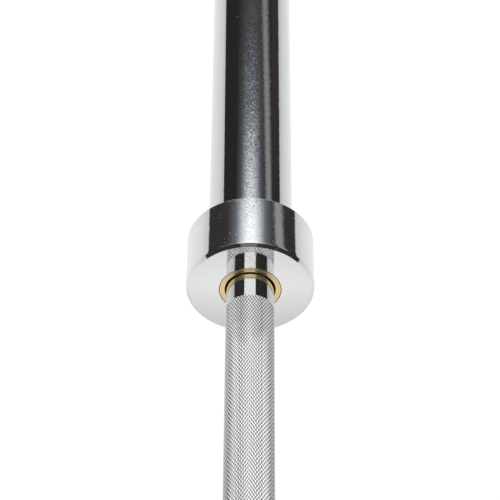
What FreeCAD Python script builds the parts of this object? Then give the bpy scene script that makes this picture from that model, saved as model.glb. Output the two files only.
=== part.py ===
import FreeCAD, Part

import math
import os

# Olympic barbell: a knurled steel shaft with a sleeve that turns freely on each end.
# Millimetres. The bar lies along X with its centre at the origin, and +Z is up.
# The right-hand end (+X) is modelled in place, and a half turn about Z makes the left-hand end.

# Shaft
shaft_diameter = 28.0
grip_span = 1310.0              # between the inner faces of the two collars
journal_step = 1.5              # height of the shoulder that locates the sleeve
shaft_end_chamfer = 1.0
shaft_end_room = 2.5            # from the end of the shaft to the end cap
centre_hole_radius = 4.0
centre_hole_angle = 60.0        # included angle, as a lathe centre drills it

# Knurled grips, each measured from the inner face of the nearer collar
knurl_rise = 0.1                # the knurl's crests stand this far above the smooth shaft
neck_length = 17.0              # smooth neck beside the collar
ring_mark_distance = 195.0
ring_mark_width = 5.0
grip_reach = 445.0
centre_knurl_length = 120.0

# Sleeve tube, from the shaft outwards
shaft_room = 3.0                # radial, shaft to the tube's middle bore
seat_step = 1.25                # ledge that each bush is pressed against
cap_ledge = 2.75                # ledge that the end cap sits on
sleeve_rim = 4.0                # wall round the end cap
loading_length = 406.5          # free length of sleeve outside the collar
sleeve_end_chamfer = 2.0
sleeve_mouth_chamfer = 0.5

# Collar
collar_step = 12.5              # height of the collar above the sleeve
collar_length = 38.5
collar_web = 8.0                # front wall that closes over the end of the tube
collar_seat_step = 1.0          # the tube is turned down this far where the collar is shrunk on
collar_relief = 0.4             # clears the foot of the sleeve, so that plates sit flat
collar_front_chamfer = 1.5
collar_back_chamfer = 0.5

# Bronze bushes
bush_length = 40.0
bush_edge_chamfer = 0.5
bush_mouth_chamfer = 0.6
running_clearance = 0.1         # radial, shaft in bush

# Thrust washers and shim, on the journal either side of the outer bush
thrust_thickness = 2.5
thrust_room = 0.5               # radial, washer to the tube's middle bore
shim_thickness = 0.5
shim_step = 1.0                 # the shim is this much smaller in radius than the washers
washer_clearance = 0.15         # radial, washer on the journal
end_float = 0.15                # at each face of the outer bush

# Shaft snap ring, an external retaining ring in the journal's groove
snap_thickness = 2.0
snap_play = 0.15                # axial, ring in its groove
snap_groove_depth = 0.75
snap_land = 3.0                 # shaft left outside the groove
snap_width = 3.2                # radial, opposite the gap
snap_tip_width = 2.0            # radial, beside the gap
snap_eye_radius = 2.4
snap_eye_hole_radius = 1.1
snap_eye_angle = 14.0           # each eye, from the middle of the gap
snap_gap = 3.0

# End cap and the internal retaining ring that holds it
cap_thickness = 3.0
cap_clearance = 0.1             # radial, cap in its bore
cap_rim_width = 5.0
cap_dish_depth = 0.8
cap_lip = 1.5                   # sleeve left outside the ring's groove
cap_ring_thickness = 1.75
cap_ring_play = 0.1             # axial, ring in its groove
cap_groove_depth = 1.25
cap_ring_width = 4.0            # radial, opposite the gap
cap_ring_tip_width = 2.6        # radial, beside the gap
cap_eye_radius = 2.9
cap_eye_hole_radius = 1.25
cap_eye_angle = 11.0
cap_ring_gap = 3.0
ring_seat_clearance = 0.05      # radial, each retaining ring to the floor of its groove

# Radii that follow
shaft_radius = shaft_diameter / 2
knurl_radius = shaft_radius + knurl_rise
journal_radius = shaft_radius - journal_step
snap_groove_radius = journal_radius - snap_groove_depth
sleeve_bore_radius = shaft_radius + shaft_room
bush_radius = sleeve_bore_radius + seat_step
cap_bore_radius = bush_radius + cap_ledge
cap_groove_radius = cap_bore_radius + cap_groove_depth
sleeve_radius = cap_bore_radius + sleeve_rim
collar_seat_radius = sleeve_radius - collar_seat_step
collar_radius = sleeve_radius + collar_step
thrust_radius = sleeve_bore_radius - thrust_room
washer_bore_radius = journal_radius + washer_clearance

# Stations along X that follow, from the collar's inner face out to the end of the sleeve
collar_face = grip_span / 2
tube_start = collar_face + collar_web
collar_back = collar_face + collar_length
inner_bush_end = collar_face + bush_length
sleeve_end = collar_back + loading_length
cap_groove_end = sleeve_end - cap_lip
cap_face = cap_groove_end - cap_ring_thickness - cap_ring_play
cap_seat = cap_face - cap_thickness

# Stations of the thrust stack, from the end of the shaft back to its shoulder
shaft_end = cap_seat - shaft_end_room
snap_outer_face = shaft_end - snap_land
snap_inner_face = snap_outer_face - snap_thickness
shim_start = snap_inner_face - shim_thickness
outer_thrust_start = shim_start - thrust_thickness
outer_bush_end = outer_thrust_start - end_float
outer_bush_start = outer_bush_end - bush_length
inner_thrust_start = outer_bush_start - end_float - thrust_thickness
shoulder = inner_thrust_start

ORIGIN = FreeCAD.Vector(0, 0, 0)
BAR_AXIS = FreeCAD.Vector(1, 0, 0)
UP = FreeCAD.Vector(0, 0, 1)


def turned(outline):
    """Turn a closed outline of (x, radius) corners about the bar's axis."""
    corners = [FreeCAD.Vector(x, 0, radius) for x, radius in outline]
    profile = Part.Face(Part.makePolygon(corners + corners[:1]))
    return profile.revolve(ORIGIN, BAR_AXIS, 360)


def disc(x, thickness, radius, y=0.0, z=0.0):
    """Disc across the bar, centred on (y, z)."""
    return Part.makeCylinder(radius, thickness, FreeCAD.Vector(x, y, z), BAR_AXIS)


def shaft():
    """One bar: centre knurl, two grips with a ring mark each, and a turned journal at both ends."""
    knurled_bands = [
        (0.0, centre_knurl_length / 2),
        (collar_face - grip_reach, collar_face - ring_mark_distance - ring_mark_width),
        (collar_face - ring_mark_distance, collar_face - neck_length),
    ]
    half = []
    for band_start, band_end in knurled_bands:
        half += [
            (band_start, shaft_radius),
            (band_start, knurl_radius),
            (band_end, knurl_radius),
            (band_end, shaft_radius),
        ]
    centre_hole_depth = centre_hole_radius / math.tan(math.radians(centre_hole_angle / 2))
    half += [
        (shoulder, shaft_radius),
        (shoulder, journal_radius),
        (snap_inner_face - snap_play, journal_radius),
        (snap_inner_face - snap_play, snap_groove_radius),
        (snap_outer_face, snap_groove_radius),
        (snap_outer_face, journal_radius),
        (shaft_end - shaft_end_chamfer, journal_radius),
        (shaft_end, journal_radius - shaft_end_chamfer),
        (shaft_end, centre_hole_radius),
        (shaft_end - centre_hole_depth, 0.0),
    ]
    # The centre knurl crosses the middle of the bar, so its first two corners are left out
    half = half[2:]
    other_half = [(-x, radius) for x, radius in reversed(half)]
    return turned(other_half + half)


def sleeve_tube():
    """Loading sleeve: turned down for the collar, and bored for the bushes, the end cap and its ring."""
    return turned([
        (tube_start, bush_radius),
        (tube_start, collar_seat_radius),
        (collar_back, collar_seat_radius),
        (collar_back, sleeve_radius),
        (sleeve_end - sleeve_end_chamfer, sleeve_radius),
        (sleeve_end, sleeve_radius - sleeve_end_chamfer),
        (sleeve_end, cap_bore_radius + sleeve_mouth_chamfer),
        (sleeve_end - sleeve_mouth_chamfer, cap_bore_radius),
        (cap_groove_end, cap_bore_radius),
        (cap_groove_end, cap_groove_radius),
        (cap_face, cap_groove_radius),
        (cap_face, cap_bore_radius),
        (cap_seat, cap_bore_radius),
        (cap_seat, bush_radius),
        (outer_bush_start, bush_radius),
        (outer_bush_start, sleeve_bore_radius),
        (inner_bush_end, sleeve_bore_radius),
        (inner_bush_end, bush_radius),
    ])


def collar():
    """Collar with a socket for the tube behind, and a web in front that the inner bush passes."""
    relief_depth = collar_seat_step + collar_relief
    return turned([
        (collar_face, bush_radius),
        (collar_face, collar_radius - collar_front_chamfer),
        (collar_face + collar_front_chamfer, collar_radius),
        (collar_back - collar_back_chamfer, collar_radius),
        (collar_back, collar_radius - collar_back_chamfer),
        (collar_back, collar_seat_radius + relief_depth),
        (collar_back - relief_depth, collar_seat_radius),
        (tube_start, collar_seat_radius),
        (tube_start, bush_radius),
    ])


def bush(start, shaft_part_radius):
    """Bronze bush that runs on a part of the shaft of the given radius, chamfered at its inner end."""
    bore = shaft_part_radius + running_clearance
    end = start + bush_length
    return turned([
        (start, bore + bush_mouth_chamfer),
        (start, bush_radius - bush_edge_chamfer),
        (start + bush_edge_chamfer, bush_radius),
        (end, bush_radius),
        (end, bore),
        (start + bush_mouth_chamfer, bore),
    ])


def washer(start, thickness, outside):
    """Flat washer on the journal."""
    return disc(start, thickness, outside).cut(disc(start, thickness, washer_bore_radius))


def eyes(start, thickness, circle_radius, eye_radius, eye_angle):
    """Two discs on a circle, one each side of a retaining ring's gap at the top."""
    angles = [math.radians(eye_angle), math.radians(-eye_angle)]
    return [
        disc(start, thickness, eye_radius, circle_radius * math.sin(angle), circle_radius * math.cos(angle))
        for angle in angles
    ]


def gap_slot(start, thickness, width, reach):
    """Slot that opens a retaining ring at the top."""
    return Part.makeBox(thickness, width, reach, FreeCAD.Vector(start, -width / 2, 0))


def shaft_snap_ring():
    """External retaining ring: widest at the bottom, with two eyes that stand out beside the gap."""
    start, thickness = snap_inner_face, snap_thickness
    inside = snap_groove_radius + ring_seat_clearance
    outside = inside + (snap_width + snap_tip_width) / 2
    eccentricity = (snap_width - snap_tip_width) / 2
    eye_circle = inside + snap_eye_radius
    body = disc(start, thickness, outside, z=-eccentricity)
    body = body.fuse(eyes(start, thickness, eye_circle, snap_eye_radius, snap_eye_angle))
    holes = eyes(start, thickness, eye_circle, snap_eye_hole_radius, snap_eye_angle)
    slot = gap_slot(start, thickness, snap_gap, eye_circle + 2 * snap_eye_radius)
    return body.cut([disc(start, thickness, inside), slot] + holes).removeSplitter()


def cap_ring():
    """Internal retaining ring: widest at the bottom, with two eyes that stand inwards beside the gap."""
    start, thickness = cap_face, cap_ring_thickness
    outside = cap_groove_radius - ring_seat_clearance
    inside = outside - (cap_ring_width + cap_ring_tip_width) / 2
    eccentricity = (cap_ring_width - cap_ring_tip_width) / 2
    eye_circle = outside - cap_eye_radius
    rim = disc(start, thickness, outside)
    body = rim.cut(disc(start, thickness, inside, z=eccentricity))
    body = body.fuse(eyes(start, thickness, eye_circle, cap_eye_radius, cap_eye_angle)).common(rim)
    holes = eyes(start, thickness, eye_circle, cap_eye_hole_radius, cap_eye_angle)
    slot = gap_slot(start, thickness, cap_ring_gap, 2 * cap_groove_radius)
    return body.cut([slot] + holes).removeSplitter()


def end_cap():
    """Plain disc with a dished face inside its rim."""
    radius = cap_bore_radius - cap_clearance
    dish_radius = radius - cap_rim_width
    return turned([
        (cap_seat, 0.0),
        (cap_seat, radius),
        (cap_face, radius),
        (cap_face, dish_radius),
        (cap_face - cap_dish_depth, dish_radius - cap_dish_depth),
        (cap_face - cap_dish_depth, 0.0),
    ])


def save(node, shape):
    """Write one named piece, which is one closed solid."""
    solid, = shape.Solids
    solid.exportStep(f"parts/{node}.step")


def main():
    os.makedirs("parts", exist_ok=True)
    save("shaft", shaft())
    end_pieces = {
        "sleeve_tube": sleeve_tube(),
        "collar": collar(),
        "inner_bush": bush(collar_face, shaft_radius),
        "outer_bush": bush(outer_bush_start, journal_radius),
        "inner_thrust_washer": washer(inner_thrust_start, thrust_thickness, thrust_radius),
        "outer_thrust_washer": washer(outer_thrust_start, thrust_thickness, thrust_radius),
        "shim": washer(shim_start, shim_thickness, thrust_radius - shim_step),
        "shaft_snap_ring": shaft_snap_ring(),
        "end_cap": end_cap(),
        "end_cap_ring": cap_ring(),
    }
    for side, half_turn in (("right", 0), ("left", 180)):
        for name, shape in end_pieces.items():
            save(f"{side}_{name}", shape.rotated(ORIGIN, UP, half_turn))


main()
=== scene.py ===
"""Olympic barbell: the visible pieces, their finishes and the studio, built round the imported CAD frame."""

import math
from functools import partial

import bmesh
import bpy
from bpy.props import FloatProperty, FloatVectorProperty, IntProperty, PointerProperty
from mathutils import Matrix, Vector


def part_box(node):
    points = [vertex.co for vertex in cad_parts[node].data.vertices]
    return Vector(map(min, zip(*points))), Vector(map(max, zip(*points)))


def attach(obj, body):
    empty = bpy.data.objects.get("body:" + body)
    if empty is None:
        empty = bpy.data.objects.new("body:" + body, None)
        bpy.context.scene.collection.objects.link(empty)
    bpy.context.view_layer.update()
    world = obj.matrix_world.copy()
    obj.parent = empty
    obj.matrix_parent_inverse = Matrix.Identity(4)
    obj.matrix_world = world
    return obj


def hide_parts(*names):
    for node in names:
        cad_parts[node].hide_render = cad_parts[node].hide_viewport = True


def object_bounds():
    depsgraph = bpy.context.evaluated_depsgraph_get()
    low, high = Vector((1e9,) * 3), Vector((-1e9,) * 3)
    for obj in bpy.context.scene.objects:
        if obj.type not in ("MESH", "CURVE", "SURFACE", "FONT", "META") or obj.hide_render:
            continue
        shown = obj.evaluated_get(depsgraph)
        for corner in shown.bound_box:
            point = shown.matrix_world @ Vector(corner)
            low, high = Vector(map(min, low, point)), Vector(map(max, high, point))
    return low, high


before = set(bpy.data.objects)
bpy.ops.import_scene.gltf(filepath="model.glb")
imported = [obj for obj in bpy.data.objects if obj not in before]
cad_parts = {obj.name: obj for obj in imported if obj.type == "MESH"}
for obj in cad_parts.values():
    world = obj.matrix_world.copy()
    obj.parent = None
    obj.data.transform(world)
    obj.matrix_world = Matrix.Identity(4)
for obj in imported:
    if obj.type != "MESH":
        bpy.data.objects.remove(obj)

bl_info = {
    "name": "Barbell Looks",
    "version": (1, 0, 0),
    "blender": (4, 5, 0),
    "location": "View3D > Sidebar > Barbell",
    "description": "Builds the visible pieces of a barbell round its CAD frame",
    "category": "Object",
}

# The bar lies along X with its middle at the origin, in metres, as in the CAD frame.
# Each piece of the right-hand end is modelled in place, and a half turn about Z makes the left-hand one.
CAD_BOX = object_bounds()
SHAFT_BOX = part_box("shaft")
COLLAR_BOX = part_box("right_collar")
TUBE_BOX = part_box("right_sleeve_tube")
BUSH_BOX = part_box("right_inner_bush")
OUTER_BUSH_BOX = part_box("right_outer_bush")
INNER_WASHER_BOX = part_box("right_inner_thrust_washer")
SNAP_RING_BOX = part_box("right_shaft_snap_ring")
CAP_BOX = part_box("right_end_cap")
CAP_RING_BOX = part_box("right_end_cap_ring")
HALF_TURNS = {"right": 0.0, "left": math.pi}

# How meshes are joined, shaded and rounded
SAME_POINT = 1e-7
SHARP_ANGLE = math.radians(30)
ROUNDING_SEGMENTS = 4

# Marks on the metal, in metres. Each pair is a mark's width along the bar and its run round it.
HAZE_PATCH = (0.030, 0.012)
POLISHING_MARK = (0.0005, 0.0015)
FLECK = (0.0003, 0.0006)
WORN_PATCH = (0.006, 0.006)
TINT_PATCH = (0.004, 0.004)
PIT_SIZE = 0.0006

# Noise: its usual range, how rough it is, and how soft the edge of a pit is
USUAL_NOISE = (0.3, 0.7)
NOISE_ROUGHNESS = 0.6
PIT_EDGE = 0.02

# How rough the metal is, and how much a dull film veils machined metal
CHROME_ROUGHNESS = 0.06
HAZE_ROUGHNESS = (0.03, 0.07)
KNURL_ROUGHNESS = 0.12
WORN_ROUGHNESS = (0.06, 0.12)
PIT_ROUGHNESS = 0.3
FILM_ROUGHNESS = 0.5
TURNED_VEIL = 0.6

# The studio's lights. Each pair is a soft edge, from where a light is full to where it is gone.
# AHEAD, BESIDE and UP are parts of a direction. ALONG and ACROSS are where it meets a ceiling one metre up.
LOWEST_UP = 0.02
OVERHEAD_UP = (0.06, 0.02)
CEILING_UP = (0.16, 0.10)
FRONT_ALONG = (0.70, 0.55)
SIDES_AHEAD = (0.11, 0.17)
SIDES_DIMMED_BY = 0.85
NEAR_AHEAD = (0.565, 0.66)
SOFTBOX_AHEAD = (0.6986, 0.7475)
SOFTBOX_ACROSS = (0.017, 0.545)
SOFTBOX_WIDER_NEAR = 0.25
HAZE_AHEAD = (0.682, 0.815)
HAZE_ACROSS = (0.0, 1.0)
HAZE_WIDER_NEAR = 3.0
HALO_OFFSET = 0.357
HALO_WIDTH = 4.34
HALO_INNER_RIM = (1.07, 0.97)
HALO_OUTER_RIM = (1.13, 1.25)
RIGHT_WALL_ACROSS = (2.1, 1.6)
RIGHT_WALL_AHEAD = (0.725, 0.712)
STRIP_NEAR_SLANT = 0.2
STRIP_NEAR_EDGE = (1.71, 1.49)
STRIP_FAR_SLANT = -0.284
STRIP_FAR_EDGE = (1.33, 1.70)
TOP_LIGHT_BESIDE = (0.15, 0.60)
CANOPY_FAR_AHEAD = (0.60, 0.68)
CANOPY_NEAR_AHEAD = (-0.42, -0.52)
CANOPY_BESIDE = (0.72, 1.00)
CANOPY_WIDE_AHEAD = (0.40, 0.50)
CANOPY_NARROW_ACROSS = (0.20, 0.38)
REAR_AHEAD = (0.84, 0.81)
REAR_UP = (0.40, 0.12)
REAR_BESIDE = (0.40, 0.90)
BACK_PANEL_FRONT_AHEAD = (-0.54, -0.48)
BACK_PANEL_BACK_AHEAD = (-0.705, -0.72)
BACK_PANEL_LEFT_ACROSS = (-0.50, -0.56)
BACK_PANEL_RIGHT_ACROSS = (0.44, 0.50)
REAR_WALL_AHEAD = (-0.88, -0.80)
FILL_LEFT_ACROSS = (-0.32, -0.38)
FILL_RIGHT_ACROSS = (0.19, 0.25)
FILL_AHEAD = (-0.738, -0.725)
BACKDROP_UP = (0.0455, 0.0705)
BACKDROP_AHEAD = (0.78, 0.84)
BACKDROP_TILT = -0.066
BACKDROP_DIP_START = -0.72
BACKDROP_DIP = 1.5

# The floor. The bar mirrors it as a pool of light, brighter on the left, with shade under the bar.
# Each stop of the shade is a distance from the bar's middle and a depth.
POOL_EDGE = 0.67
POOL_GAIN = 0.37
POOL_REACH = 0.12
BAR_SHADE = (
    (0.0, 0.7), (0.46, 0.7), (0.59, 0.17), (0.612, 0.065),
    (0.62, 0.08), (0.65, 0.32), (0.665, 0.32), (0.70, 0.0),
)
BAR_SHADE_WIDTH = (0.02, 0.095)
SIDE_REACH = 0.4
RIGHT_GAIN = 0.94
LEFT_GAIN = 1.06
FLOOR_LIGHT = 0.85
FLOOR_SHADOW = 0.2
FLOOR_GLOW = 0.92


# Sizes and colours that a user would change

def length(name, description, default):
    """Property for a length in metres."""
    return FloatProperty(name=name, description=description, default=default, precision=6, unit="LENGTH")


def share(name, description, default):
    """Property for a share from 0 to 1."""
    return FloatProperty(name=name, description=description, default=default, min=0.0, max=1.0, subtype="FACTOR")


def colour(name, description, default):
    """Property for a colour."""
    return FloatVectorProperty(name=name, description=description, default=default, size=3, subtype="COLOR")


class ShaftSizes(bpy.types.PropertyGroup):
    """The shaft's sizes, as in the CAD model"""

    radius: length("Radius", "Smooth part of the shaft", 0.014)
    journal_radius: length("Journal radius", "Turned end that the outer bush runs on", 0.0125)
    groove_radius: length("Groove radius", "Floor of the snap ring's groove", 0.01175)
    snap_play: length("Snap ring play", "Free room beside the snap ring in its groove", 0.00015)
    end_chamfer: length("End chamfer", "Chamfer at each end", 0.001)
    centre_hole_radius: length("Centre hole radius", "Mouth of the lathe centre at each end", 0.004)
    centre_hole_depth: length("Centre hole depth", "Depth of the lathe centre at each end", 0.00693)
    neck: length("Neck", "Smooth neck beside the collar", 0.017)
    ring_mark_distance: length("Ring mark distance", "Collar face to the ring mark", 0.195)
    ring_mark_width: length("Ring mark width", "Smooth ring in the grip", 0.005)
    grip_reach: length("Grip reach", "Collar face to the inner end of the grip", 0.445)
    centre_length: length("Centre knurl", "Length of the knurl in the middle", 0.120)


class KnurlSizes(bpy.types.PropertyGroup):
    """The diamond knurl's sizes"""

    starts: IntProperty(name="Starts", description="Diamonds round the shaft", default=48, min=12, max=96)
    pitch: length("Pitch", "Length of one diamond along the shaft", 0.00305)
    depth: length("Depth", "Crest to groove", 0.00025)
    flat: share("Flat", "Share of a diamond's width left flat on its crest", 0.26)
    bed_depth: length("Bed depth", "The shaft under the knurl is turned down this far", 0.0008)


class SleeveSizes(bpy.types.PropertyGroup):
    """Sizes of the two sleeves, as in the CAD model but for fine edges on the collar's front and the bush"""

    bore_radius: length("Bore radius", "Middle bore of the tube", 0.017)
    cap_bore_radius: length("Cap bore radius", "Bore that holds the end cap", 0.021)
    cap_groove_radius: length("Cap groove radius", "Floor of the end cap ring's groove", 0.02225)
    cap_ring_play: length("Cap ring play", "Free room beside the end cap ring in its groove", 0.0001)
    end_chamfer: length("End chamfer", "Chamfer at the sleeve's outer end", 0.002)
    mouth_chamfer: length("Mouth chamfer", "Chamfer at the mouth of the cap's bore", 0.0005)
    seat_step: length("Seat step", "The tube is turned down this far under the collar", 0.001)
    collar_relief: length("Collar relief", "Relief behind the collar, at the foot of the sleeve", 0.0004)
    front_chamfer: length("Front chamfer", "Chamfer round the collar's inner face, along the bar", 0.00165)
    front_chamfer_drop: length(
        "Front chamfer drop", "Chamfer round the collar's inner face, across the bar", 0.00176)
    front_roll_off: length("Front roll-off", "Length that polishing rounds off behind the front chamfer", 0.002)
    front_roll_drop: length("Front roll-off drop", "How far the roll-off drops at the front chamfer", 0.0001)
    collar_back_chamfer: length("Collar back chamfer", "Chamfer round the collar's outer face", 0.0005)
    bush_clearance: length("Bush clearance", "Shaft to the bush's bore", 0.0001)
    bush_mouth_width: length("Bush mouth width", "Lead-in taper at the bush's mouth, across the bar", 0.0008)
    bush_mouth_depth: length("Bush mouth depth", "Lead-in taper at the bush's mouth, along the bar", 0.003)
    bush_edge_width: length("Bush edge width", "Width of the gap round the bush's front edge", 0.0004)
    bush_edge_depth: length("Bush edge depth", "Depth of the gap round the bush's front edge", 0.0015)
    cap_rim: length("Cap rim", "Flat rim round the end cap's dish", 0.005)
    cap_dish: length("Cap dish", "Depth of the end cap's dish", 0.0008)
    edge_rounding: length("Edge rounding", "Rounding of polished edges", 0.00025)


class Finishes(bpy.types.PropertyGroup):
    """Colours of the finishes"""

    chrome: colour("Chrome", "Bright chrome of the shaft and the sleeves", (0.74, 0.745, 0.75))
    # The collars' chrome is the sleeves' chrome painted brighter: painted light, for how the light falls on the
    # collars.
    painted_light_collar_chrome: colour("Collar chrome", "Brighter chrome of the collars", (0.85, 0.853, 0.857))
    # The knurl groove colour is painted shade: near black, for the shade that falls at the bottom of the knurl's
    # grooves.
    groove: colour("Knurl groove", "Duller chrome at the bottom of the knurl's grooves", (0.05, 0.048, 0.046))
    bronze: colour("Bronze", "Machined bronze of the bushes", (0.91, 0.69, 0.37))
    ground_steel: colour("Ground steel", "Thrust washers and shims", (0.52, 0.53, 0.55))
    black_steel: colour("Blackened steel", "Retaining rings", (0.05, 0.05, 0.055))
    satin_chrome: colour("Satin chrome", "End caps", (0.70, 0.70, 0.71))


class Studio(bpy.types.PropertyGroup):
    """The camera and the light"""

    lens: FloatProperty(name="Lens", description="Focal length on a 36 mm sensor", default=156.38, unit="CAMERA")
    target: FloatVectorProperty(
        name="Target", description="Point that the camera looks at",
        default=(0.687411, 0.000248, 0.0), subtype="XYZ")
    distance: length("Distance", "Camera to the target", 1.28828)
    elevation: FloatProperty(
        name="Elevation", description="Camera above the horizon", default=math.radians(45.637), subtype="ANGLE")
    turn: FloatProperty(
        name="Turn", description="Camera off the bar's own line", default=math.radians(0.214), subtype="ANGLE")
    roll: FloatProperty(
        name="Roll", description="Camera's tilt about its own line of sight",
        default=math.radians(0.649), subtype="ANGLE")
    softbox: colour("Softbox", "Light from the softbox overhead", (0.975, 1.005, 1.022))
    haze: colour("Haze", "Light that spills round the softbox", (0.204, 0.210, 0.219))
    strip: colour("Strip", "Light from the panel ahead on the camera's right", (0.265, 0.265, 0.27))
    canopy: colour("Canopy", "Light from the wide diffuser between the camera and the softbox", (1.50, 1.50, 1.51))
    rear: colour("Rear panel", "Light from the panel low over the bar's far end", (2.27, 2.27, 2.27))
    back_panel: colour("Back panel", "Light from the panel above the camera", (1.2, 1.21, 1.22))
    rear_wall: colour("Rear wall", "Light from the wall behind the camera", (0.8, 0.8, 0.8))
    fill: colour("Fill", "Dim light from behind the camera", (0.155, 0.130, 0.140))
    backdrop: colour("Backdrop", "Light from the low backdrop", (0.66, 0.65, 0.64))
    room: colour("Room", "Light from the dark room", (0.0268, 0.024, 0.0225))
    halo: colour("Halo", "Blue tinge past the softbox", (0.0, 0.015, 0.04))
    right_wall: colour("Right wall", "Warm light from the wall on the camera's right", (0.016, 0.012, 0.011))
    top_light: colour("Top light", "Narrow light straight over the bar, seen from its sides", (0.85, 0.855, 0.86))
    floor_size: length("Floor", "Side of the floor", 12.0)


# Meshes

def turned(outline, steps=160):
    """Ring or disc turned about the bar's axis. Its corners, in order, are (station, radius, rounding)."""
    bm = bmesh.new()
    corners = [bm.verts.new((station, 0.0, radius)) for station, radius, _ in outline]
    bm.faces.new(corners)
    for rounding in sorted({corner[2] for corner in outline} - {0}):
        rounded = [vert for vert, corner in zip(corners, outline) if corner[2] == rounding]
        bmesh.ops.bevel(
            bm, geom=rounded, offset=rounding, affect="VERTICES",
            segments=ROUNDING_SEGMENTS, profile=0.5, material=-1)
    bmesh.ops.delete(bm, geom=bm.faces[:], context="FACES_ONLY")
    on_axis = [edge for edge in bm.edges if all(vert.co.z == 0.0 for vert in edge.verts)]
    bmesh.ops.delete(bm, geom=on_axis, context="EDGES")
    bmesh.ops.spin(
        bm, geom=bm.verts[:] + bm.edges[:], axis=(1, 0, 0), angle=math.tau, steps=steps, use_merge=True)
    bmesh.ops.remove_doubles(bm, verts=bm.verts, dist=SAME_POINT)
    bmesh.ops.recalc_face_normals(bm, faces=bm.faces)
    return bm


def knurled_stretches(sizes):
    """Start and end of each knurled stretch, from the left-hand end to the right-hand one."""
    face = COLLAR_BOX[0].x
    mark = face - sizes.ring_mark_distance
    right = [(face - sizes.grip_reach, mark - sizes.ring_mark_width), (mark, face - sizes.neck)]
    left = [(-end, -start) for start, end in reversed(right)]
    return [*left, (-sizes.centre_length / 2, sizes.centre_length / 2), *right]


def knurled_band(start, end, knurl, crest_radius):
    """Closed ring of raised diamonds between two stations of the shaft."""
    diamonds_along = round((end - start) / knurl.pitch)
    half_pitch = (end - start) / diamonds_along / 2
    half_width = math.pi / knurl.starts
    groove_radius = crest_radius - knurl.depth
    side = (groove_radius * math.sin(half_width), groove_radius * math.cos(half_width))
    bm = bmesh.new()
    corners = [
        (start - half_pitch, 0.0, groove_radius),
        (start, -side[0], side[1]),
        (start + half_pitch, 0.0, groove_radius),
        (start, side[0], side[1]),
    ]
    diamond = bm.faces.new([bm.verts.new(corner) for corner in corners])
    diamond.normal_update()
    centre_to_edge = half_pitch * side[0] / math.hypot(half_pitch, side[0])
    crest_rise = crest_radius - diamond.calc_center_median().z
    bmesh.ops.inset_individual(
        bm, faces=[diamond], thickness=centre_to_edge * (1 - knurl.flat), depth=crest_rise, use_even_offset=True)
    bmesh.ops.spin(
        bm, geom=bm.verts[:] + bm.edges[:] + bm.faces[:], axis=(1, 0, 0),
        angle=math.tau - 2 * half_width, steps=knurl.starts - 1, use_duplicate=True)
    rows = 2 * diamonds_along
    bmesh.ops.spin(
        bm, geom=bm.verts[:] + bm.edges[:] + bm.faces[:], axis=(1, 0, 0),
        angle=half_width * rows, dvec=(half_pitch, 0, 0), steps=rows, use_duplicate=True)
    bmesh.ops.remove_doubles(bm, verts=bm.verts, dist=knurl.depth / 20)
    for station, outward in ((start, (-1, 0, 0)), (end, (1, 0, 0))):
        bmesh.ops.bisect_plane(
            bm, geom=bm.verts[:] + bm.edges[:] + bm.faces[:], dist=SAME_POINT,
            plane_co=(station, 0, 0), plane_no=outward, clear_outer=True)
    rims = [edge for edge in bm.edges if edge.is_boundary]
    walls = bmesh.ops.extrude_edge_only(bm, edges=rims)["geom"]
    inside = (crest_radius - 2 * knurl.bed_depth) / crest_radius
    bmesh.ops.scale(
        bm, verts=[part for part in walls if isinstance(part, bmesh.types.BMVert)], vec=(1, inside, inside))
    bmesh.ops.bridge_loops(bm, edges=[edge for edge in bm.edges if edge.is_boundary])
    bmesh.ops.recalc_face_normals(bm, faces=bm.faces)
    return bm


def place(bm, name, finish, body, stands_for=None, smooth=True):
    """Make a mesh into a piece that rides on a body of the frame."""
    mesh = bpy.data.meshes.new(name)
    bm.to_mesh(mesh)
    bm.free()
    mesh.materials.append(finish)
    piece = bpy.data.objects.new(name, mesh)
    bpy.context.scene.collection.objects.link(piece)
    if smooth:
        mesh.shade_smooth()
        mesh.set_sharp_from_angle(angle=SHARP_ANGLE)
        piece.modifiers.new("Flat faces stay flat", "WEIGHTED_NORMAL").keep_sharp = True
    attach(piece, body)
    if stands_for:
        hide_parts(stands_for)


def place_pair(outline, name, finish, steps=160):
    """Place a turned piece on the right-hand sleeve, and its half turn on the left-hand one."""
    for hand, half_turn in HALF_TURNS.items():
        bm = turned(outline, steps)
        bmesh.ops.rotate(bm, verts=bm.verts, matrix=Matrix.Rotation(half_turn, 3, "Z"))
        place(bm, f"{hand}_{name}_shown", finish, f"{hand}_sleeve", f"{hand}_{name}")


def finish_nodes(names, finish):
    """Give CAD nodes that stay in view their finish."""
    for hand in HALF_TURNS:
        for name in names:
            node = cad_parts[f"{hand}_{name}"]
            node.data.materials.clear()
            node.data.materials.append(finish)


# Finishes

def put(tree, kind, inputs=None, **settings):
    """Add a node to a tree, with its settings, and fill its sockets with values or with other nodes' outputs."""
    node = tree.nodes.new(kind)
    for name, value in settings.items():
        setattr(node, name, value)
    for socket, value in (inputs or {}).items():
        if isinstance(value, bpy.types.NodeSocket):
            tree.links.new(value, node.inputs[socket])
        else:
            node.inputs[socket].default_value = value
    return node


def reckon(tree, operation, *parts):
    """Join values with an operation, one after another."""
    total = parts[0]
    for part in parts[1:]:
        total = put(tree, "ShaderNodeMath", {0: total, 1: part}, operation=operation).outputs[0]
    return total


def size_of(tree, value):
    """A value without its sign."""
    return put(tree, "ShaderNodeMath", {0: value}, operation="ABSOLUTE").outputs[0]


def fade(tree, value, full, gone):
    """1 on the full side of a soft edge and 0 on the other."""
    return put(tree, "ShaderNodeMapRange", {
        "Value": value, "From Min": gone, "From Max": full}, interpolation_type="SMOOTHSTEP").outputs["Result"]


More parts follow.
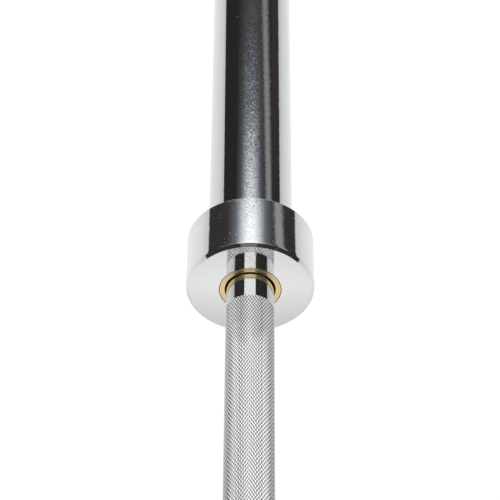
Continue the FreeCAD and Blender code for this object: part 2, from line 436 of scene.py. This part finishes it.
def new_metal(name, base, roughness, veil=0.0):
    """Metal under a dull film, which veils its dark reflections. Returns the material, its tree and its shader."""
    material = bpy.data.materials.new(name)
    material.use_nodes = True
    tree = material.node_tree
    shader = tree.nodes["Principled BSDF"]
    shader.inputs["Base Color"].default_value = (*base, 1.0)
    shader.inputs["Metallic"].default_value = 1.0
    shader.inputs["Roughness"].default_value = roughness
    shader.inputs["Coat Weight"].default_value = veil
    shader.inputs["Coat Roughness"].default_value = FILM_ROUGHNESS
    return material, tree, shader


def place_on_piece(tree):
    """A point's place on its piece."""
    return put(tree, "ShaderNodeTexCoord").outputs["Object"]


def place_in_marks(tree, width, run):
    """A point's place on its piece, in marks of one width along the bar and one run round it."""
    return put(tree, "ShaderNodeMapping", {
        "Vector": place_on_piece(tree), "Scale": (1 / width, 1 / run, 1 / run)}).outputs["Vector"]


def radius_on_piece(tree):
    """A point's distance from the bar's axis."""
    section = put(tree, "ShaderNodeVectorMath", {
        0: place_on_piece(tree), 1: (0, 1, 1)}, operation="MULTIPLY").outputs[0]
    return put(tree, "ShaderNodeVectorMath", {0: section}, operation="LENGTH").outputs["Value"]


def grain(tree, mark, detail=2.0):
    """Noise in marks that run round the bar."""
    return put(tree, "ShaderNodeTexNoise", {
        "Vector": place_in_marks(tree, *mark), "Scale": 1.0, "Detail": detail,
        "Roughness": NOISE_ROUGHNESS}).outputs["Fac"]


def vary(tree, value, low, high):
    """A noise value, from its usual low to its usual high, as a value between two others."""
    usual_low, usual_high = USUAL_NOISE
    return put(tree, "ShaderNodeMapRange", {
        "Value": value, "From Min": usual_low, "From Max": usual_high,
        "To Min": low, "To Max": high}).outputs["Result"]


def tinted(tree, shader, share_of_second, first, second):
    """Colour a metal with one colour and a share of another."""
    shade = put(tree, "ShaderNodeMix", {
        "Factor": share_of_second, 6: (*first, 1), 7: (*second, 1)}, data_type="RGBA")
    tree.links.new(shade.outputs[2], shader.inputs["Base Color"])


def relief(tree, height, depth):
    """Normal of a surface with a relief of some depth."""
    return put(tree, "ShaderNodeBump", {"Height": height, "Strength": 1.0, "Distance": depth}).outputs["Normal"]


def flecks(tree, tilt, over):
    """Normal of a surface broken into tiny flecks, most of them hardly tilted and a few tilted a lot."""
    cells = put(tree, "ShaderNodeTexVoronoi", {
        "Vector": place_in_marks(tree, *FLECK), "Scale": 1.0}).outputs["Color"]
    swing = put(tree, "ShaderNodeVectorMath", {
        0: cells, 1: (2, 2, 2), 2: (-1, -1, -1)}, operation="MULTIPLY_ADD").outputs[0]
    squared = put(tree, "ShaderNodeVectorMath", {0: swing, 1: swing}, operation="MULTIPLY").outputs[0]
    cubed = put(tree, "ShaderNodeVectorMath", {0: squared, 1: swing}, operation="MULTIPLY").outputs[0]
    tilted = put(tree, "ShaderNodeVectorMath", {0: cubed, 1: tilt, 2: over}, operation="MULTIPLY_ADD").outputs[0]
    return put(tree, "ShaderNodeVectorMath", {0: tilted}, operation="NORMALIZE").outputs[0]


def chrome_finish(name, base, marks_depth, fleck_tilt, pitted, veil=0.0):
    """Bright chrome over polished steel: haze, polishing marks round the bar, small flecks and a share of pits."""
    material, tree, shader = new_metal(name, base, CHROME_ROUGHNESS, veil)
    haze = vary(tree, grain(tree, HAZE_PATCH, detail=3.0), *HAZE_ROUGHNESS)
    cells = put(tree, "ShaderNodeTexVoronoi", {
        "Vector": place_on_piece(tree), "Scale": 1 / PIT_SIZE}).outputs["Color"]
    pits = put(tree, "ShaderNodeMapRange", {
        "Value": cells, "From Min": 1 - pitted, "From Max": 1 + PIT_EDGE - pitted,
        "To Max": PIT_ROUGHNESS}).outputs["Result"]
    tree.links.new(reckon(tree, "MAXIMUM", haze, pits), shader.inputs["Roughness"])
    marks = relief(tree, grain(tree, POLISHING_MARK), marks_depth)
    tree.links.new(flecks(tree, fleck_tilt, over=marks), shader.inputs["Normal"])
    return material


def knurl_finish(name, crest, groove, crest_radius, depth):
    """Chrome on the knurl, with painted shade: a near-black colour in the lower half of the grooves."""
    material, tree, shader = new_metal(name, crest, KNURL_ROUGHNESS)
    # Painted shade: from halfway down each groove to its bottom, the colour goes from the crest's chrome to the
    # near-black groove colour.
    height = put(tree, "ShaderNodeMapRange", {
        "Value": radius_on_piece(tree), "From Min": crest_radius - depth,
        "From Max": crest_radius - depth / 2}).outputs["Result"]
    tinted(tree, shader, height, groove, crest)
    worn = grain(tree, WORN_PATCH, detail=4.0)
    tree.links.new(vary(tree, worn, *WORN_ROUGHNESS), shader.inputs["Roughness"])
    return material


def turned_finish(name, base, roughness, mark_width, mark_depth, tint):
    """Machined metal: a tool's marks round the bar's axis, some smoother than others, in patches of two tints."""
    material, tree, shader = new_metal(name, base, sum(roughness) / 2, TURNED_VEIL)
    patches = grain(tree, TINT_PATCH, detail=4.0)
    tinted(tree, shader, vary(tree, patches, 0.0, 1.0), base, [part * tint for part in base])
    along = put(tree, "ShaderNodeSeparateXYZ", {0: place_on_piece(tree)}).outputs["X"]
    tool_path = put(tree, "ShaderNodeCombineXYZ", {"X": radius_on_piece(tree), "Y": along}).outputs[0]
    marks = put(tree, "ShaderNodeTexNoise", {
        "Vector": tool_path, "Scale": 1 / mark_width, "Detail": 1.0}, noise_dimensions="2D").outputs["Fac"]
    tree.links.new(relief(tree, marks, mark_depth), shader.inputs["Normal"])
    tree.links.new(vary(tree, marks, *roughness), shader.inputs["Roughness"])
    return material


# Operators, one for each group of pieces

class BARBELL_OT_shaft(bpy.types.Operator):
    """Turn the shaft: smooth neck, ring marks, beds for the knurl, and a journal at each end"""

    bl_idname = "barbell.shaft"
    bl_label = "Shaft"

    def execute(self, context):
        sizes, knurl = context.scene.barbell_shaft, context.scene.barbell_knurl
        bed = sizes.radius - knurl.bed_depth
        half = []
        for start, end in knurled_stretches(sizes)[2:]:
            half += [(start, sizes.radius, 0), (start, bed, 0), (end, bed, 0), (end, sizes.radius, 0)]
        shoulder, shaft_end = INNER_WASHER_BOX[0].x, SHAFT_BOX[1].x
        groove_start, groove_end = SNAP_RING_BOX[0].x - sizes.snap_play, SNAP_RING_BOX[1].x
        half = half[2:] + [
            (shoulder, sizes.radius, 0),
            (shoulder, sizes.journal_radius, 0),
            (groove_start, sizes.journal_radius, 0),
            (groove_start, sizes.groove_radius, 0),
            (groove_end, sizes.groove_radius, 0),
            (groove_end, sizes.journal_radius, 0),
            (shaft_end - sizes.end_chamfer, sizes.journal_radius, 0),
            (shaft_end, sizes.journal_radius - sizes.end_chamfer, 0),
            (shaft_end, sizes.centre_hole_radius, 0),
            (shaft_end - sizes.centre_hole_depth, 0.0, 0),
        ]
        other_half = [(-station, radius, rounding) for station, radius, rounding in reversed(half)]
        finish = chrome_finish(
            "shaft_chrome", context.scene.barbell_finishes.chrome,
            marks_depth=1e-6, fleck_tilt=(0.018, 0.004, 0.004), pitted=0.03)
        place(turned(other_half + half), "shaft_shown", finish, "shaft", "shaft")
        return {"FINISHED"}


class BARBELL_OT_knurl(bpy.types.Operator):
    """Cut the diamond knurl on the four grips and the middle of the shaft"""

    bl_idname = "barbell.knurl"
    bl_label = "Knurl"

    def execute(self, context):
        knurl, finishes = context.scene.barbell_knurl, context.scene.barbell_finishes
        crest_radius = SHAFT_BOX[1].z
        # The groove colour paints shade into the bottom of the knurl's grooves.
        finish = knurl_finish("knurl_chrome", finishes.chrome, finishes.groove, crest_radius, knurl.depth)
        names = ("left_outer_grip", "left_inner_grip", "centre_knurl", "right_inner_grip", "right_outer_grip")
        for name, (start, end) in zip(names, knurled_stretches(context.scene.barbell_shaft)):
            band = knurled_band(start, end, knurl, crest_radius)
            place(band, name, finish, "shaft", smooth=False)
        return {"FINISHED"}


class BARBELL_OT_collars(bpy.types.Operator):
    """Turn the two collars that stop the plates"""

    bl_idname = "barbell.collars"
    bl_label = "Collars"

    def execute(self, context):
        sizes = context.scene.barbell_sleeve
        face, back, radius = COLLAR_BOX[0].x, COLLAR_BOX[1].x, COLLAR_BOX[1].z
        seat = TUBE_BOX[1].z - sizes.seat_step
        relief_depth = sizes.seat_step + sizes.collar_relief
        bush_radius, rounding = BUSH_BOX[1].z, sizes.edge_rounding
        outline = [
            (face, bush_radius, rounding / 4),
            (face, radius - sizes.front_roll_drop - sizes.front_chamfer_drop, 0),
            (face + sizes.front_chamfer, radius - sizes.front_roll_drop, 0),
            (face + sizes.front_chamfer + sizes.front_roll_off, radius, 0),
            (back - sizes.collar_back_chamfer, radius, rounding / 2),
            (back, radius - sizes.collar_back_chamfer, rounding / 2),
            (back, seat + relief_depth, rounding / 2),
            (back - relief_depth, seat, 0),
            (TUBE_BOX[0].x, seat, 0),
            (TUBE_BOX[0].x, bush_radius, 0),
        ]
        # Painted light: the collars get a brighter colour than the same chrome on the sleeves.
        finish = chrome_finish(
            "painted_light_collar_chrome", context.scene.barbell_finishes.painted_light_collar_chrome,
            marks_depth=1.5e-6, fleck_tilt=(0.022, 0.004, 0.004), pitted=0.08, veil=0.4)
        place_pair(outline, "collar", finish, steps=192)
        return {"FINISHED"}


class BARBELL_OT_sleeve_tubes(bpy.types.Operator):
    """Turn the two loading sleeves"""

    bl_idname = "barbell.sleeve_tubes"
    bl_label = "Sleeve tubes"

    def execute(self, context):
        sizes = context.scene.barbell_sleeve
        start, end, radius = TUBE_BOX[0].x, TUBE_BOX[1].x, TUBE_BOX[1].z
        bush_radius, rounding = BUSH_BOX[1].z, sizes.edge_rounding
        groove_end = CAP_RING_BOX[1].x + sizes.cap_ring_play
        outline = [
            (start, bush_radius, 0),
            (start, radius - sizes.seat_step, 0),
            (COLLAR_BOX[1].x, radius - sizes.seat_step, 0),
            (COLLAR_BOX[1].x, radius, 0),
            (end - sizes.end_chamfer, radius, rounding),
            (end, radius - sizes.end_chamfer, rounding),
            (end, sizes.cap_bore_radius + sizes.mouth_chamfer, rounding / 2),
            (end - sizes.mouth_chamfer, sizes.cap_bore_radius, rounding / 2),
            (groove_end, sizes.cap_bore_radius, 0),
            (groove_end, sizes.cap_groove_radius, 0),
            (CAP_BOX[1].x, sizes.cap_groove_radius, 0),
            (CAP_BOX[1].x, sizes.cap_bore_radius, 0),
            (CAP_BOX[0].x, sizes.cap_bore_radius, 0),
            (CAP_BOX[0].x, bush_radius, 0),
            (OUTER_BUSH_BOX[0].x, bush_radius, 0),
            (OUTER_BUSH_BOX[0].x, sizes.bore_radius, 0),
            (BUSH_BOX[1].x, sizes.bore_radius, 0),
            (BUSH_BOX[1].x, bush_radius, 0),
        ]
        finish = chrome_finish(
            "sleeve_chrome", context.scene.barbell_finishes.chrome,
            marks_depth=1.5e-6, fleck_tilt=(0.028, 0.004, 0.003), pitted=0.04)
        place_pair(outline, "sleeve_tube", finish)
        return {"FINISHED"}


class BARBELL_OT_bushes(bpy.types.Operator):
    """Turn the two bronze bushes that show round the shaft, and finish the two inside the sleeves"""

    bl_idname = "barbell.bushes"
    bl_label = "Bushes"

    def execute(self, context):
        sizes, finishes = context.scene.barbell_sleeve, context.scene.barbell_finishes
        start, end, radius = BUSH_BOX[0].x, BUSH_BOX[1].x, BUSH_BOX[1].z
        bore, rounding = context.scene.barbell_shaft.radius + sizes.bush_clearance, sizes.edge_rounding
        outline = [
            (start, bore + sizes.bush_mouth_width, rounding / 4),
            (start, radius - sizes.bush_edge_width, rounding / 4),
            (start + sizes.bush_edge_depth, radius, 0),
            (end, radius, 0),
            (end, bore, 0),
            (start + sizes.bush_mouth_depth, bore, 0),
        ]
        finish = turned_finish(
            "bronze", finishes.bronze, roughness=(0.07, 0.40), mark_width=0.0003, mark_depth=1e-6, tint=0.9)
        place_pair(outline, "inner_bush", finish, steps=128)
        finish_nodes(["outer_bush"], finish)
        return {"FINISHED"}


class BARBELL_OT_end_caps(bpy.types.Operator):
    """Turn the two dished end caps, and finish the rings that hold them"""

    bl_idname = "barbell.end_caps"
    bl_label = "End caps"

    def execute(self, context):
        sizes, finishes = context.scene.barbell_sleeve, context.scene.barbell_finishes
        seat, face, radius = CAP_BOX[0].x, CAP_BOX[1].x, CAP_BOX[1].z
        dish_radius, rounding = radius - sizes.cap_rim, sizes.edge_rounding
        outline = [
            (seat, 0.0, 0),
            (seat, radius, 0),
            (face, radius, rounding / 2),
            (face, dish_radius, rounding),
            (face - sizes.cap_dish, dish_radius - sizes.cap_dish, rounding),
            (face - sizes.cap_dish, 0.0, 0),
        ]
        finish = turned_finish(
            "satin_chrome", finishes.satin_chrome,
            roughness=(0.18, 0.26), mark_width=0.00025, mark_depth=2e-6, tint=0.94)
        place_pair(outline, "end_cap", finish, steps=128)
        blackened = turned_finish(
            "blackened_steel", finishes.black_steel,
            roughness=(0.28, 0.42), mark_width=0.0006, mark_depth=2e-6, tint=1.6)
        finish_nodes(["end_cap_ring"], blackened)
        return {"FINISHED"}


class BARBELL_OT_thrust_parts(bpy.types.Operator):
    """Finish the thrust washers, shims and snap rings inside the sleeves"""

    bl_idname = "barbell.thrust_parts"
    bl_label = "Thrust parts"

    def execute(self, context):
        finishes = context.scene.barbell_finishes
        ground = turned_finish(
            "ground_steel", finishes.ground_steel,
            roughness=(0.22, 0.34), mark_width=0.0004, mark_depth=2e-6, tint=0.92)
        finish_nodes(["inner_thrust_washer", "outer_thrust_washer", "shim"], ground)
        finish_nodes(["shaft_snap_ring"], bpy.data.materials["blackened_steel"])
        return {"FINISHED"}


# The stage

class BARBELL_OT_stage(bpy.types.Operator):
    """Set up the white floor, the studio light and the camera"""

    bl_idname = "barbell.stage"
    bl_label = "Stage"

    def execute(self, context):
        studio = context.scene.barbell_studio
        light_studio(context.scene, studio)
        lay_floor(context.scene, studio)
        aim_camera(context.scene, studio)
        context.scene.view_settings.view_transform = "Standard"
        return {"FINISHED"}


def aim_camera(scene, studio):
    """Point the camera along the bar from above its middle."""
    flat = math.cos(studio.elevation)
    sight = Vector((
        flat * math.cos(studio.turn), -flat * math.sin(studio.turn), -math.sin(studio.elevation)))
    camera = bpy.data.objects.new("camera", bpy.data.cameras.new("camera"))
    camera.data.lens = studio.lens
    level = sight.to_track_quat("-Z", "Y").to_matrix().to_4x4()
    place_of_camera = Matrix.Translation(Vector(studio.target) - sight * studio.distance)
    camera.matrix_world = place_of_camera @ level @ Matrix.Rotation(studio.roll, 4, "Z")
    scene.collection.objects.link(camera)
    scene.camera = camera


def grey(shade):
    """A grey, as a colour that nodes take."""
    return shade, shade, shade, 1


def lay_floor(scene, studio):
    """Lay a white floor under the collars that keeps a faint shadow of the bar."""
    bm = bmesh.new()
    bmesh.ops.create_grid(bm, x_segments=1, y_segments=1, size=studio.floor_size / 2)
    bmesh.ops.translate(bm, verts=bm.verts, vec=(0, 0, CAD_BOX[0].z))
    mesh = bpy.data.meshes.new("floor")
    bm.to_mesh(mesh)
    bm.free()
    floor = bpy.data.objects.new("floor", mesh)
    scene.collection.objects.link(floor)
    material = bpy.data.materials.new("white_floor")
    material.use_nodes = True
    tree = material.node_tree
    tree.nodes.remove(tree.nodes["Principled BSDF"])
    mirrored = put(tree, "ShaderNodeEmission", {"Strength": pool_of_light(tree)}).outputs[0]
    lit = put(tree, "ShaderNodeBsdfDiffuse", {"Color": grey(FLOOR_LIGHT)}).outputs[0]
    shadow = put(tree, "ShaderNodeBsdfDiffuse", {"Color": grey(FLOOR_SHADOW)}).outputs[0]
    white = put(tree, "ShaderNodeEmission", {"Color": grey(1), "Strength": FLOOR_GLOW}).outputs[0]
    shown = put(tree, "ShaderNodeAddShader", {0: white, 1: shadow}).outputs[0]
    path = put(tree, "ShaderNodeLightPath").outputs
    reflected = reckon(tree, "MAXIMUM", path["Is Glossy Ray"], path["Is Transmission Ray"])
    mixed = put(tree, "ShaderNodeMixShader", {0: reflected, 1: lit, 2: mirrored}).outputs[0]
    mixed = put(tree, "ShaderNodeMixShader", {0: path["Is Camera Ray"], 1: mixed, 2: shown}).outputs[0]
    tree.links.new(mixed, tree.nodes["Material Output"].inputs["Surface"])
    mesh.materials.append(material)


def pool_of_light(tree):
    """How bright the floor is where the bar mirrors it."""
    sums = partial(reckon, tree)
    to_end, to_left, _ = put(tree, "ShaderNodeSeparateXYZ", {0: place_on_piece(tree)}).outputs
    from_middle, from_bar = size_of(tree, to_end), size_of(tree, to_left)
    pool = sums("DIVIDE", POOL_REACH * POOL_GAIN, sums("ADD", from_bar, POOL_REACH))
    pool = sums("ADD", pool, POOL_EDGE)
    along_bar = put(tree, "ShaderNodeValToRGB", {"Fac": from_middle})
    stops = along_bar.color_ramp.elements
    stops.remove(stops[1])
    (_, first_depth), *others = BAR_SHADE
    stops[0].color = grey(first_depth)
    for distance, depth in others:
        stops.new(distance).color = grey(depth)
    shade = sums("MULTIPLY", along_bar.outputs["Color"], fade(tree, from_bar, *BAR_SHADE_WIDTH))
    pool = sums("MULTIPLY", pool, sums("SUBTRACT", 1.0, shade))
    gain = put(tree, "ShaderNodeMapRange", {
        "Value": to_left, "From Min": -SIDE_REACH, "From Max": SIDE_REACH,
        "To Min": RIGHT_GAIN, "To Max": LEFT_GAIN}).outputs["Result"]
    return sums("MULTIPLY", pool, gain)


def light_studio(scene, studio):
    """Light the bar from panels and walls round it, in a dark room with a pale low backdrop."""
    world = bpy.data.worlds.new("studio")
    scene.world = world
    world.use_nodes = True
    tree = world.node_tree
    sums, edge = partial(reckon, tree), partial(fade, tree)
    times = partial(reckon, tree, "MULTIPLY")
    direction = put(tree, "ShaderNodeTexCoord").outputs["Generated"]
    ahead, left, up = put(tree, "ShaderNodeSeparateXYZ", {0: direction}).outputs

    # How far ahead and to the camera's right a direction meets a ceiling one metre up
    height = sums("MAXIMUM", up, LOWEST_UP)
    along = sums("DIVIDE", ahead, height)
    across = sums("DIVIDE", times(left, -1.0), height)
    overhead = edge(up, *OVERHEAD_UP)
    ceiling = edge(up, *CEILING_UP)
    in_front = times(edge(along, *FRONT_ALONG), overhead)
    off_line, beside = size_of(tree, across), size_of(tree, left)

    # Over the bar's sides the canopy is dim, so that the sides mirror one narrow light
    sides = edge(size_of(tree, ahead), *SIDES_AHEAD)
    top_light = times(sides, edge(beside, *TOP_LIGHT_BESIDE), ceiling)
    canopy_width = sums("MAXIMUM", edge(ahead, *CANOPY_WIDE_AHEAD), edge(off_line, *CANOPY_NARROW_ACROSS))
    canopy = times(
        sums("SUBTRACT", 1.0, times(sides, SIDES_DIMMED_BY)), edge(ahead, *CANOPY_FAR_AHEAD),
        edge(ahead, *CANOPY_NEAR_AHEAD), ceiling, edge(beside, *CANOPY_BESIDE), canopy_width)

    # The softbox and its haze are wider towards the camera
    near = edge(ahead, *NEAR_AHEAD)
    softbox_side = sums("SUBTRACT", off_line, times(near, SOFTBOX_WIDER_NEAR))
    softbox = times(edge(ahead, *SOFTBOX_AHEAD), edge(softbox_side, *SOFTBOX_ACROSS), in_front)
    haze_side = sums("SUBTRACT", off_line, times(near, HAZE_WIDER_NEAR))
    haze = times(edge(ahead, *HAZE_AHEAD), edge(haze_side, *HAZE_ACROSS), in_front)
    on_oval = put(tree, "ShaderNodeCombineXYZ", {
        "X": along, "Y": sums("DIVIDE", sums("ADD", across, HALO_OFFSET), HALO_WIDTH)}).outputs[0]
    rim = put(tree, "ShaderNodeVectorMath", {0: on_oval}, operation="LENGTH").outputs["Value"]
    halo = times(edge(rim, *HALO_INNER_RIM), edge(rim, *HALO_OUTER_RIM), in_front)

    # Panels and walls ahead of the bar
    right_wall = times(edge(across, *RIGHT_WALL_ACROSS), edge(ahead, *RIGHT_WALL_AHEAD), overhead)
    near_edge = sums("ADD", along, times(across, STRIP_NEAR_SLANT))
    far_edge = sums("ADD", along, times(across, STRIP_FAR_SLANT))
    strip = times(edge(near_edge, *STRIP_NEAR_EDGE), edge(far_edge, *STRIP_FAR_EDGE), overhead)
    rear = times(edge(ahead, *REAR_AHEAD), edge(up, *REAR_UP), edge(beside, *REAR_BESIDE))
    dip = times(
        sums("MAXIMUM", sums("ADD", ahead, BACKDROP_DIP_START), 0.0), sums("MAXIMUM", left, 0.0), BACKDROP_DIP)
    skyline = sums("ADD", up, times(left, BACKDROP_TILT), dip)
    backdrop = times(edge(skyline, *BACKDROP_UP), edge(ahead, *BACKDROP_AHEAD))

    # Panels and walls above and behind the camera
    back_panel = times(
        edge(ahead, *BACK_PANEL_FRONT_AHEAD), edge(ahead, *BACK_PANEL_BACK_AHEAD),
        edge(across, *BACK_PANEL_LEFT_ACROSS), edge(across, *BACK_PANEL_RIGHT_ACROSS), overhead)
    rear_wall = times(edge(ahead, *REAR_WALL_AHEAD), ceiling)
    fill = times(
        edge(across, *FILL_LEFT_ACROSS), edge(across, *FILL_RIGHT_ACROSS), edge(ahead, *FILL_AHEAD), overhead)

    light = tuple(studio.room)
    for patch, colour_of_light, joined in (
        (softbox, studio.softbox, "ADD"),
        (haze, studio.haze, "ADD"),
        (canopy, studio.canopy, "MAXIMUM"),
        (back_panel, studio.back_panel, "MAXIMUM"),
        (top_light, studio.top_light, "MAXIMUM"),
        (halo, studio.halo, "ADD"),
        (right_wall, studio.right_wall, "ADD"),
        (strip, studio.strip, "ADD"),
        (rear, studio.rear, "ADD"),
        (rear_wall, studio.rear_wall, "ADD"),
        (fill, studio.fill, "ADD"),
        (backdrop, studio.backdrop, "ADD"),
    ):
        lit = put(tree, "ShaderNodeVectorMath", {
            0: tuple(colour_of_light), "Scale": patch}, operation="SCALE").outputs[0]
        light = put(tree, "ShaderNodeVectorMath", {0: light, 1: lit}, operation=joined).outputs[0]
    seen = put(tree, "ShaderNodeLightPath").outputs["Is Camera Ray"]
    shown = put(tree, "ShaderNodeMix", {"Factor": seen, 6: light, 7: grey(1)}, data_type="RGBA").outputs[2]
    tree.links.new(shown, tree.nodes["Background"].inputs["Color"])


# Panel and registration

OPERATORS = (
    BARBELL_OT_stage, BARBELL_OT_shaft, BARBELL_OT_knurl, BARBELL_OT_collars, BARBELL_OT_sleeve_tubes,
    BARBELL_OT_bushes, BARBELL_OT_end_caps, BARBELL_OT_thrust_parts,
)
GROUPS = {
    "barbell_shaft": ShaftSizes,
    "barbell_knurl": KnurlSizes,
    "barbell_sleeve": SleeveSizes,
    "barbell_finishes": Finishes,
    "barbell_studio": Studio,
}


class BARBELL_PT_looks(bpy.types.Panel):
    """Lists the barbell's pieces, each with its own button"""

    bl_idname = "BARBELL_PT_looks"
    bl_label = "Barbell"
    bl_space_type = "VIEW_3D"
    bl_region_type = "UI"
    bl_category = "Barbell"

    def draw(self, context):
        for operator in OPERATORS:
            self.layout.operator(operator.bl_idname)
        for group in GROUPS:
            sizes = getattr(context.scene, group)
            box = self.layout.box()
            for name in sizes.bl_rna.properties.keys():
                if name not in {"rna_type", "name"}:
                    box.prop(sizes, name)


def register():
    for name, group in GROUPS.items():
        bpy.utils.register_class(group)
        setattr(bpy.types.Scene, name, PointerProperty(type=group))
    for operator in OPERATORS:
        bpy.utils.register_class(operator)
    bpy.utils.register_class(BARBELL_PT_looks)


def unregister():
    bpy.utils.unregister_class(BARBELL_PT_looks)
    for operator in reversed(OPERATORS):
        bpy.utils.unregister_class(operator)
    for name, group in GROUPS.items():
        delattr(bpy.types.Scene, name)
        bpy.utils.unregister_class(group)


def main():
    register()
    bpy.ops.barbell.stage()
    bpy.ops.barbell.shaft()
    bpy.ops.barbell.knurl()
    bpy.ops.barbell.collars()
    bpy.ops.barbell.sleeve_tubes()
    bpy.ops.barbell.bushes()
    bpy.ops.barbell.end_caps()
    bpy.ops.barbell.thrust_parts()


if __name__ == "__main__":
    main()
